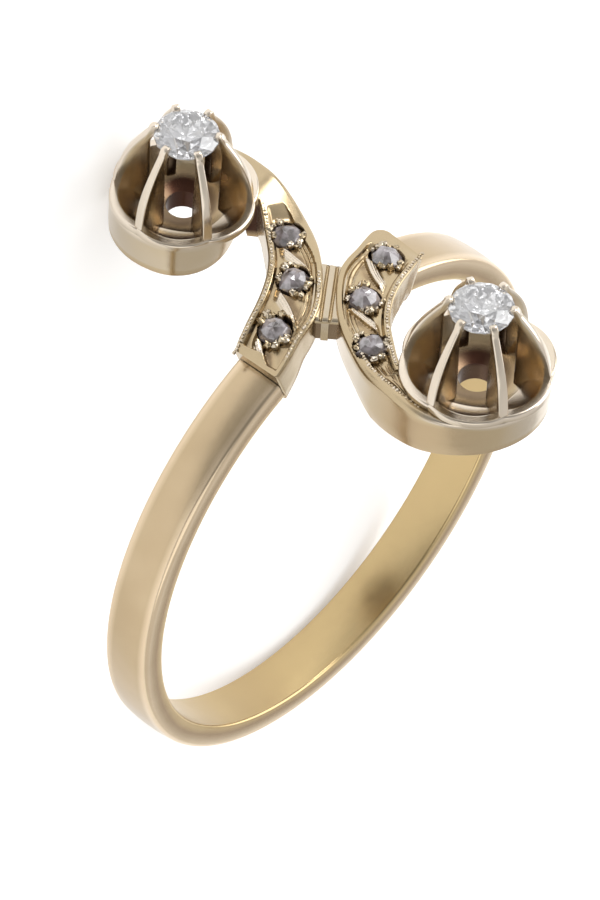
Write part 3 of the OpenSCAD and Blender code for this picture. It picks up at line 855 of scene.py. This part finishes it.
def scoop_height(r, a):
    """Lowest of the rim's plane, the middle bowl and the petal's scoop, which are parts of two balls."""
    x, y = r * np.cos(off_axis(a)), r * np.sin(off_axis(a))
    bowl = BOWL_Z - np.sqrt(BOWL_R ** 2 - r ** 2)
    scoop = SCOOP_Z - np.sqrt((SCOOP_Z + SCOOP_DEPTH) ** 2 - (x - PETAL_AT) ** 2 - y ** 2)
    return np.minimum(0, np.minimum(bowl, scoop))


print("Radius of a cup's rim in mm, at a foot and at a petal's middle:",
      round(float(petal_r(0.0)), 2), round(float(petal_r(PETAL_HALF)), 2))

# %% [markdown]
# ## The cup's surface
# The whole cup is one surface round its axis. A lathe would give it the same profile all round, but
# here the profile changes with the angle as it runs up the outside, over the rim, down the scoop,
# through the hole and back underneath. The scoops are painted darker on one side of each cup, as
# shade, and lighter along the ridges between the petals, as painted highlights; the bowl's middle,
# the hole and the underside are painted dark as shade.

# %% Cups
CUP_EDGE, RIM_UNDERCUT = 0.08, 0.03
ANGLES, TURN_STEPS, FLOOR_STEPS, HOLE_STEPS = 360, 7, 85, 5
# Painted light in the cups: shade on one side of each, highlights along the ridges between the petals, and
# shade in the bowl's middle, the hole and underneath.
SHADED_SIDES, SIDE_SHADE_RANGE = np.radians((41, 221)), (0.03, 0.22)
RIDGE_HIGHLIGHT_HALF, RIDGE_HIGHLIGHT_FADES, MIDDLE_SHADE, MIDDLE_FADES = 0.34, (1.3, 1.9), 0.8, (0.95, 1.6)


def cup_profile(a):
    """For every angle a profile in (r, z): over the rim, down the scoop, the hole, and back below."""
    rim, one = petal_r(a), np.ones_like(a)
    turn = np.linspace(0, np.pi / 2, TURN_STEPS)[None, :]
    wall_r = rim - CUP_EDGE + CUP_EDGE * np.cos(turn)
    wall_z = -CUP_EDGE + CUP_EDGE * np.sin(turn) + 0 * a
    s = np.linspace(0, 1, FLOOR_STEPS + 1)[None, 1:]
    floor_r = (rim - CUP_EDGE) * (1 - s) + LIGHT_HOLE_R * s
    floor_z = scoop_height(floor_r, a + 0 * s)
    down = np.linspace(0, 1, HOLE_STEPS + 1)[None, 1:]
    hole_z = floor_z[:, -1:] + (-CUP_DEPTH - floor_z[:, -1:]) * down
    under_r = np.concatenate([(LIGHT_HOLE_R + FOOT_W) * one, CUP_FLOOR_R * one, CUP_FLOOR_R * one,
                              rim - RIM_UNDERCUT], 1)
    under_z = np.array([-CUP_DEPTH, -(RIM_H + SKIRT), -RIM_H, -RIM_H]) * one
    r = np.concatenate([rim, wall_r, floor_r, LIGHT_HOLE_R * np.ones_like(hole_z), under_r], 1)
    z = np.concatenate([(RIM_UNDERCUT - RIM_H) * one, wall_z, floor_z, hole_z, under_z], 1)
    return r, z, floor_r, floor_z


def cup_tone(a, shaded_side, floor_r, floor_z):
    """Tones in the profile's order. The scoops carry painted shade, darkest at the given angle.

    There the shade falls off on both sides with the eighth power of the cosine of half the angle
    between. The ridges between the petals are painted bright as highlights, and the bowl's middle, the
    hole and the underside are painted dark as shade.
    """
    one = np.ones_like(a)
    from_ridge = (PETAL_HALF - np.abs(off_axis(a))) * floor_r
    ridge_highlight = np.exp(-(from_ridge / RIDGE_HIGHLIGHT_HALF) ** 2) * ease(floor_r, *RIDGE_HIGHLIGHT_FADES)
    side_shade = SIDE_SHADE_RANGE[0] + SIDE_SHADE_RANGE[1] * ((1 + np.cos(a - shaded_side)) / 2) ** 4
    middle = MIDDLE_SHADE * (1 - ease(floor_r, *MIDDLE_FADES))
    floor_tone = side_shade * (1 - ridge_highlight) * ease(-floor_z, 0.0, 0.04) + middle
    rim_tones = np.array([0.1] + [0.0] * TURN_STEPS)
    # Painted shade in the hole and underneath.
    hole_and_under_shade = np.repeat([1.0, 0.5], (HOLE_STEPS, 4))
    return np.concatenate([rim_tones * one, floor_tone, hole_and_under_shade * one], 1)


def cup_surface(shaded_side):
    """The profiles set round the axis: x = r cos a, y = r sin a."""
    a = np.linspace(0, 2 * np.pi, ANGLES, endpoint=False)[:, None]
    r, z, floor_r, floor_z = cup_profile(a)
    return np.stack([r * np.cos(a), r * np.sin(a), z], -1), cup_tone(a, shaded_side, floor_r, floor_z)


print("Points in the profile of a cup:", cup_profile(np.zeros((1, 1)))[0].shape[1])

# %% [markdown]
# ## Where a setting sits
# A setting is worked out about its own axis, with its rim at height 0. It is then turned by a
# degree, as the photograph shows, and set on its drum. The object could carry that place, but the
# points have to. The first one's rim looks a little smaller in the photograph, so its points are
# drawn in by a share that dies away up to the stone.

# %% Place of a setting
FEET_TURN, GIRDLE_H, RIM_TRIM = np.radians(1), 2.63, (0.045, 0.0)


def spun(points, angle):
    """Points turned about a setting's own axis, X towards Y."""
    c, s = np.cos(angle), np.sin(angle)
    return points @ np.array([[c, s, 0], [-s, c, 0], [0, 0, 1]])


def place_setting(points, second):
    """From a setting's own axes to the ring as worn: trim, turn, shift and half turn."""
    trim = RIM_TRIM[int(second)] * (1 - np.clip(points[..., 2:] / GIRDLE_H, 0, 1))
    points = np.concatenate([points[..., :2] * (1 - trim), points[..., 2:]], -1)
    return half_turn(spun(points, FEET_TURN) + np.array([*SETTING, FEET_Z]), second)


print("The first setting stands at", place_setting(np.zeros(3), False).round(2))

# %% [markdown]
# ## Fins, prongs and claws
# From each foot of the cup a thin fin rises, its outer edge a bright prong, and its top a claw bent
# over the stone. A bent wire could stand for the prong, but the real one is cut from the cup's own
# metal. So a fin is an outline with thickness. Its rim is rounded by stepping the outline inwards
# as it nears either face, which catches a thin highlight along the prong.

# %% Outline of a fin
# The fin's broad sides and inner edge are painted darker, as shade inside the cup.
FIN_T, FIN_TAPER, FIN_EDGE, FIN_SHADE = 0.33, 0.28, 0.05, 0.72
BRILLIANT_R, CORE_R, CLAW_REACH, PRONG_BOW = 1.07, 1.2, 0.19, 0.24
CLAW = np.array([[1.25, 2.71], [1.22, 2.78], [1.16, 2.86], [1.06, 2.895], [0.96, 2.87], [0.92, 2.82],
                 [0.93, 2.775], [1.09, 2.695], [1.105, 2.63], [1.09, 2.585], [1.0, 2.54], [1.1, 2.36]])
ROOT = np.array([[CORE_R, z] for z in (2.1, 1.6, 1.1, 0.6, 0.1, -0.65)] + [[1.98, -0.2], [2.19, -0.2]])


def prong_line():
    """The outer edge: a straight line from foot to girdle with one sine bow outwards."""
    foot_r, back_r = FEET_R - 0.05, BRILLIANT_R + CLAW_REACH
    t = np.linspace(0, 1, 28)
    line = np.column_stack([foot_r + (back_r - foot_r) * t + PRONG_BOW * np.sin(np.pi * t), GIRDLE_H * t])
    return np.concatenate([[[foot_r, -0.1]], line])


def claw_line():
    """The claw's curve in three steps from each point to the next."""
    return smooth(CLAW, np.linspace(0, len(CLAW) - 1, 3 * len(CLAW) - 2))


def stepped_in(outline, amount):
    """Moves each point of a closed outline inwards along the mean of its edges' normals."""
    ahead = np.roll(outline, -1, 0) - outline
    ahead /= np.linalg.norm(ahead, axis=1, keepdims=True)
    mean = ahead + np.roll(ahead, 1, 0)
    mean /= np.linalg.norm(mean, axis=1, keepdims=True)
    return outline + amount * np.column_stack([-mean[:, 1], mean[:, 0]])


fin_outline = np.concatenate([prong_line(), claw_line(), ROOT])
print("Points of a fin's outline:", len(fin_outline))

# %% [markdown]
# ## The two settings
# A fin is thinner at the stone than at its foot. Six of them and the cup are the closed shells of
# one setting, as the real one is one piece of metal. They could be united by a boolean, but shells
# that run into each other look the same and keep their even faces.

# %% Settings
def fin_surface(outline):
    """The outline at steps through the thickness, stepped inwards near both faces by a quarter circle."""
    turn = np.linspace(0, np.pi / 2, 5)
    rise, back_in = FIN_EDGE * (1 - np.sin(turn)), FIN_EDGE * (1 - np.cos(turn))
    depths = np.concatenate([-FIN_T / 2 + rise[::-1], FIN_T / 2 - rise])
    rows = []
    for depth, amount in zip(depths, np.concatenate([back_in[::-1], back_in])):
        r, z = stepped_in(outline, amount).T
        rows.append(np.column_stack([r, depth * (1 - FIN_TAPER * ease(z, 0.6, GIRDLE_H)), z]))
    return np.stack(rows)


def fin_shade(outline):
    """0 on the prong and claw; painted shade down the inner edge, warm, and darkest at its foot."""
    inner = (1 - ease(outline[:, 0], 1.19, 1.24)) * (1 - ease(outline[:, 1], 2.1, 2.5))
    return inner * (0.85 + 0.15 * (1 - ease(outline[:, 1], 0, 1.5)))


def fin_shell(foot, second):
    """The fin turned to its foot. The middle of each broad side takes the sides' painted shade."""
    fin = spun(fin_surface(fin_outline), 2 * np.pi * foot / PETALS)
    flat, groups, tones = tube(place_setting(fin, second), fin_shade(fin_outline))
    tones[-2:] = FIN_SHADE
    return flat, groups, tones


heads = []
for k, shaded_side in enumerate(SHADED_SIDES):
    cup, tone = cup_surface(shaded_side)
    shells = [ring(place_setting(cup, k == 1), tone)] + [fin_shell(foot, k == 1) for foot in range(PETALS)]
    heads.append(make_piece(f"setting_{k + 1}", shells, f"head_{k + 1}", sharp=32))

# %% [markdown]
# ## Flaws of polished metal
# Polished gold is a mirror with tiny flaws: hairlines, a faint haze, and a colour that drifts a
# little. They could be painted, but an image would need a flat map of every piece. Noise on Object
# coordinates needs none, and one group makes it for every metal.

# %% Wear
FLOAT, VECTOR = "NodeSocketFloat", "NodeSocketVector"
DENT_SCALE, DENT_M = 900, 0.00004


def node_link(tree, out_node, out_name, in_node, in_name):
    """Joins an output to an input."""
    tree.links.new(out_node.outputs[out_name], in_node.inputs[in_name])


def new_group(name, inputs, outputs):
    """An empty shader group with its ends: the names of its inputs, and its outputs with their types."""
    group = bpy.data.node_groups.new(name, "ShaderNodeTree")
    for socket in inputs:
        group.interface.new_socket(socket, in_out="INPUT", socket_type=FLOAT)
    for socket, kind in outputs:
        group.interface.new_socket(socket, in_out="OUTPUT", socket_type=kind)
    return group, group.nodes.new("NodeGroupInput"), group.nodes.new("NodeGroupOutput")


def object_noise(tree, detail):
    """Noise on Object coordinates, which stays with the metal when the ring is moved."""
    noise = tree.nodes.new("ShaderNodeTexNoise")
    noise.inputs["Detail"].default_value = detail
    node_link(tree, tree.nodes.new("ShaderNodeTexCoord"), "Object", noise, "Vector")
    return noise


def wear_group():
    """Puts out a slow cloud, a fine haze and a normal with hairlines and dimples."""
    group, enter, leave = new_group("metal_wear", ("Cloud scale", "Haze scale", "Dent"),
                                    (("Cloud", FLOAT), ("Haze", FLOAT), ("Normal", VECTOR)))
    cloud, haze, dents = (object_noise(group, detail) for detail in (3, 6, 2))
    dents.inputs["Scale"].default_value = DENT_SCALE
    bump = group.nodes.new("ShaderNodeBump")
    bump.inputs["Distance"].default_value = DENT_M
    node_link(group, enter, "Cloud scale", cloud, "Scale")
    node_link(group, enter, "Haze scale", haze, "Scale")
    node_link(group, enter, "Dent", bump, "Strength")
    node_link(group, dents, "Fac", bump, "Height")
    node_link(group, cloud, "Fac", leave, "Cloud")
    node_link(group, haze, "Fac", leave, "Haze")
    node_link(group, bump, "Normal", leave, "Normal")
    return group


def placed(tree, group, values):
    """A group placed in a material, with its inputs set by name."""
    node = tree.nodes.new("ShaderNodeGroup")
    node.node_tree = group
    for socket, value in values.items():
        node.inputs[socket].default_value = value
    return node


WEAR = wear_group()
print("Nodes in the wear group:", len(WEAR.nodes))

# %% [markdown]
# ## From tones to colours
# The shank is yellow gold and the top a champagne white gold. A ramp turns the tone of each point
# into a colour, from pale painted highlights through warm brown to the near black of painted shade
# in a crevice. The ramp could be edited by hand, but a table of stops is easier to read, and three
# helpers serve every material.

# %% Colours
# Low tones are painted highlights and high tones painted shade.
YELLOW_TONES = ((0.0, (0.64, 0.51, 0.35)), (0.35, (0.44, 0.335, 0.205)), (0.62, (0.36, 0.25, 0.14)),
                (1.0, (0.52, 0.39, 0.20)))
WHITE_TONES = ((0.0, (0.66, 0.58, 0.48)), (0.12, (0.49, 0.42, 0.32)), (0.25, (0.44, 0.35, 0.22)),
               (0.6, (0.40, 0.30, 0.18)), (1.0, (0.05, 0.022, 0.014)))


def fill_ramp(ramp, stops):
    """Gives a ramp's own two stops the first and last of stops, and adds those between."""
    own = ramp.color_ramp.elements
    for element, (position, colour) in zip((own[0], own[1]), (stops[0], stops[-1])):
        element.position, element.color = position, (*colour, 1)
    for position, colour in stops[1:-1]:
        own.new(position).color = (*colour, 1)


def maths(tree, operation, *values):
    """A maths node. Each value is a number, or a pair: a node and the name of its output."""
    node = tree.nodes.new("ShaderNodeMath")
    node.operation = operation
    for socket, value in zip(node.inputs, values):
        if isinstance(value, tuple):
            tree.links.new(value[0].outputs[value[1]], socket)
        else:
            socket.default_value = value
    return node


def new_material(name):
    """A material with its node tree and its main shader."""
    material = bpy.data.materials.new(name)
    material.use_nodes = True
    return material, material.node_tree, material.node_tree.nodes["Principled BSDF"]


print("Stops of the two golds:", len(YELLOW_TONES), len(WHITE_TONES))

# %% [markdown]
# ## Two golds
# Both golds are fully metallic, and the wear group is placed in each. The cloud pushes the tone
# about before the ramp reads it, so that no stretch of metal is one flat colour. Two plain metals
# would be quicker, but they would look new. What is the same all over is set on the shader itself.

# %% Golds
CLOUD_SCALE, HAZE_SCALE, DENT = 220, 1500, 0.12


def gold(name, tones, drift, rough):
    """Gold whose colour runs over its tones, from painted highlights on edges to painted shade in crevices,
    and drifts with the cloud.

    The mesh's tone, plus the cloud's excess over a half times the drift, picks the colour. Roughness
    is the haze between the first two numbers of rough, and the tone adds up to the third.
    """
    material, tree, shader = new_material(name)
    shader.inputs["Metallic"].default_value = 1
    wear = placed(tree, WEAR, {"Cloud scale": CLOUD_SCALE, "Haze scale": HAZE_SCALE, "Dent": DENT})
    tone = tree.nodes.new("ShaderNodeAttribute")
    tone.attribute_name = "tone"
    excess = maths(tree, "SUBTRACT", (wear, "Cloud"), 0.5)
    place = maths(tree, "MULTIPLY_ADD", (excess, "Value"), drift, (tone, "Fac"))
    colour = tree.nodes.new("ShaderNodeValToRGB")
    fill_ramp(colour, tones)
    haze = tree.nodes.new("ShaderNodeMapRange")
    haze.inputs["To Min"].default_value, haze.inputs["To Max"].default_value = rough[:2]
    roughness = maths(tree, "MULTIPLY_ADD", (tone, "Fac"), rough[2], (haze, "Result"))
    node_link(tree, place, "Value", colour, "Fac")
    node_link(tree, colour, "Color", shader, "Base Color")
    node_link(tree, wear, "Haze", haze, "Value")
    node_link(tree, roughness, "Value", shader, "Roughness")
    node_link(tree, wear, "Normal", shader, "Normal")
    return material


yellow = gold("yellow_gold", YELLOW_TONES, 0.5, (0.16, 0.27, 0.0))
white = gold("white_gold", WHITE_TONES, 0.35, (0.12, 0.24, 0.10))
shank.data.materials.append(yellow)
for piece in (*arms, link, milgrain, grains, *heads):
    piece.data.materials.append(white)
print("Nodes in each gold:", len(yellow.node_tree.nodes), len(white.node_tree.nodes))

# %% [markdown]
# ## The rose cuts
# The small stones were cut by hand, each a little differently: a dome of flat facets on a round
# plan. A bevelled cone would be too regular. Here rings of corners are pushed off their even places
# by a seeded chance, and every facet between them stays flat and sharp.

# %% Rose cuts
ROSE_R, ROSE_SIDES, ROSE_SUNK = ROSE_D / 2 - SEAM, 9, 0.12
ROSE_RINGS = np.array([[0.96, 0.0], [1.0, 0.13], [0.76, 0.33], [0.36, 0.455]])
ROUND_STRAY, OUT_STRAY, UP_STRAY = 0.09, 0.05, 0.07


def rose_stone(random):
    """Rings of corners, each at its share of the radius and its height, moved by a few hundredths."""
    spread = np.array([0, 1, 1, 0])[:, None] * np.pi / ROSE_SIDES
    a = 2 * np.pi * np.arange(ROSE_SIDES) / ROSE_SIDES + spread + random.uniform(0, 6)
    a = a + random.normal(0, ROUND_STRAY, a.shape)
    r = ROSE_R * ROSE_RINGS[:, :1] * np.minimum(1 + random.normal(-0.02, OUT_STRAY, a.shape), 1.02)
    z = ROSE_RINGS[:, 1:] * (1 + random.normal(0, UP_STRAY, a.shape))
    return np.stack([r * np.cos(a), r * np.sin(a), z], -1)


def seat_stone(points, place):
    """Sets a stone on the field's cylinder, square to the finger hole."""
    lean = np.arcsin(place[0] / FIELD_R)
    raised = points + np.array([0, place[1], FIELD_R - ROSE_SUNK])
    return raised @ turn_y(lean).T


random = np.random.default_rng(11)
roses = []
for arm in range(2):
    for place in rose_places(arm):
        corners = half_turn(seat_stone(rose_stone(random), place), arm == 1)
        shell = tube(corners, random.uniform(0, 1, corners.shape[:2]))
        number = len(roses) + 1
        roses.append(make_piece(f"rose_cut_{number}", [shell], f"rose_{number}", sharp=4))

# %% [markdown]
# ## The finish of the stones
# A brilliant is clear to the renderer, and its own solid has the true cut, so it only takes a better
# material. Much of what a real one shows is white light thrown back from below, so it keeps a share
# of plain white under its gloss. The rose cuts are dark grey and let little light through, so most
# of what they show is the sky on their facets. One group makes the faint dust on both.

# %% Stones
def dust_group():
    """Puts out a fine cloud."""
    group, enter, leave = new_group("stone_dust", ("Scale",), (("Cloud", FLOAT),))
    cloud = object_noise(group, 2)
    node_link(group, enter, "Scale", cloud, "Scale")
    node_link(group, cloud, "Fac", leave, "Cloud")
    return group


DUST = dust_group()


def stone(name, colours, ior, transmission, roughness, dust_scale):
    """Clear or dark glass. The dust runs between two colours, and between two roughnesses."""
    material, tree, shader = new_material(name)
    shader.inputs["IOR"].default_value = ior
    shader.inputs["Transmission Weight"].default_value = transmission
    dust = placed(tree, DUST, {"Scale": dust_scale})
    ramp = tree.nodes.new("ShaderNodeValToRGB")
    fill_ramp(ramp, tuple(zip((0.38, 0.66), colours)))
    rough = tree.nodes.new("ShaderNodeMapRange")
    rough.inputs["To Min"].default_value, rough.inputs["To Max"].default_value = roughness
    node_link(tree, dust, "Cloud", ramp, "Fac")
    node_link(tree, ramp, "Color", shader, "Base Color")
    node_link(tree, dust, "Cloud", rough, "Value")
    node_link(tree, rough, "Result", shader, "Roughness")
    return material


diamond = stone("diamond", ((0.86, 0.86, 0.89), (1.0, 1.0, 1.0)), 2.4, 0.88, (0.0, 0.02), 1500)
rose = stone("rose_stone", ((0.09, 0.07, 0.065), (0.37, 0.33, 0.35)), 2.3, 0.1, (0.04, 0.16), 2600)
brilliants = [node for name, node in nodes.items() if name.startswith("diamond")]
for node in brilliants:
    node.data.materials.clear()
    node.data.materials.append(diamond)
for piece in roses:
    piece.data.materials.append(rose)
print("Brilliants:", len(brilliants), "rose cuts:", len(roses))

# %% [markdown]
# ## Table and light
# The ring lies on a white table in a soft white tent of light. The table glows a little, as a lit
# white board does, so hardly any shadow stays on it. Two large soft lamps and a small one for the
# glints give the metal something brighter to mirror.

# %% Stage
FLOOR, FLOOR_GREY, FLOOR_ROUGH, FLOOR_GLOW = 0.6, 0.95, 0.9, 0.3
floor_mesh = bpy.data.meshes.new("floor")
floor_mesh.from_pydata([(-FLOOR, -FLOOR, 0), (FLOOR, -FLOOR, 0), (FLOOR, FLOOR, 0), (-FLOOR, FLOOR, 0)], [],
                       [(0, 1, 2, 3)])
floor = bpy.data.objects.new("floor", floor_mesh)
bpy.context.scene.collection.objects.link(floor)
floor_paint, _, paint = new_material("floor_paint")
paint.inputs["Base Color"].default_value = (FLOOR_GREY, FLOOR_GREY, FLOOR_GREY, 1)
paint.inputs["Roughness"].default_value = FLOOR_ROUGH
paint.inputs["Emission Strength"].default_value = FLOOR_GLOW
floor_mesh.materials.append(floor_paint)


def soft_lamp(name, place, size, power):
    """A square area lamp that faces the ring."""
    light = bpy.data.lights.new(name, "AREA")
    light.shape, light.size, light.energy = "SQUARE", size, power
    lamp = bpy.data.objects.new(name, light)
    bpy.context.scene.collection.objects.link(lamp)
    lamp.location = place
    lamp.rotation_mode = "QUATERNION"
    lamp.rotation_quaternion = Vector(place).to_track_quat("Z", "Y")
    return lamp


lamps = [soft_lamp("lamp_left", (-0.35, -0.05, 0.30), 0.42, 0.5),
         soft_lamp("lamp_right", (0.36, 0.0, 0.26), 0.42, 1.2),
         soft_lamp("lamp_glint", (0.27, 0.39, 0.165), 0.14, 0.5)]
print("Lamps:", [lamp.name for lamp in lamps])

# %% [markdown]
# ## The tent
# The tent could be a dome of cloth with the lens looking in through a gap. A world whose grey
# depends only on the angle to one fixed direction does the same for less: darker round the gap, and
# brighter round the sides.

# %% Tent
TENT = ((0.0, (0.88, 0.87, 0.86)), (0.45, (0.82, 0.82, 0.82)), (0.75, (0.62, 0.62, 0.62)),
        (0.93, (0.36, 0.36, 0.36)), (1.0, (0.30, 0.295, 0.29)))


def tent_world(gap):
    """A world whose colour is a ramp over the cosine of the angle to the gap."""
    world = bpy.data.worlds.new("tent")
    world.use_nodes = True
    tree = world.node_tree
    angle = tree.nodes.new("ShaderNodeVectorMath")
    angle.operation = "DOT_PRODUCT"
    angle.inputs[1].default_value = tuple(gap)
    ramp = tree.nodes.new("ShaderNodeValToRGB")
    ramp.color_ramp.interpolation = "EASE"
    fill_ramp(ramp, TENT)
    node_link(tree, tree.nodes.new("ShaderNodeTexCoord"), "Generated", angle, 0)
    node_link(tree, angle, "Value", ramp, "Fac")
    node_link(tree, ramp, "Color", tree.nodes["Background"], "Color")
    return world


bpy.context.scene.world = tent_world(look_back)
bpy.context.scene.view_settings.view_transform = "Standard"
print("Stops of the tent:", len(TENT))
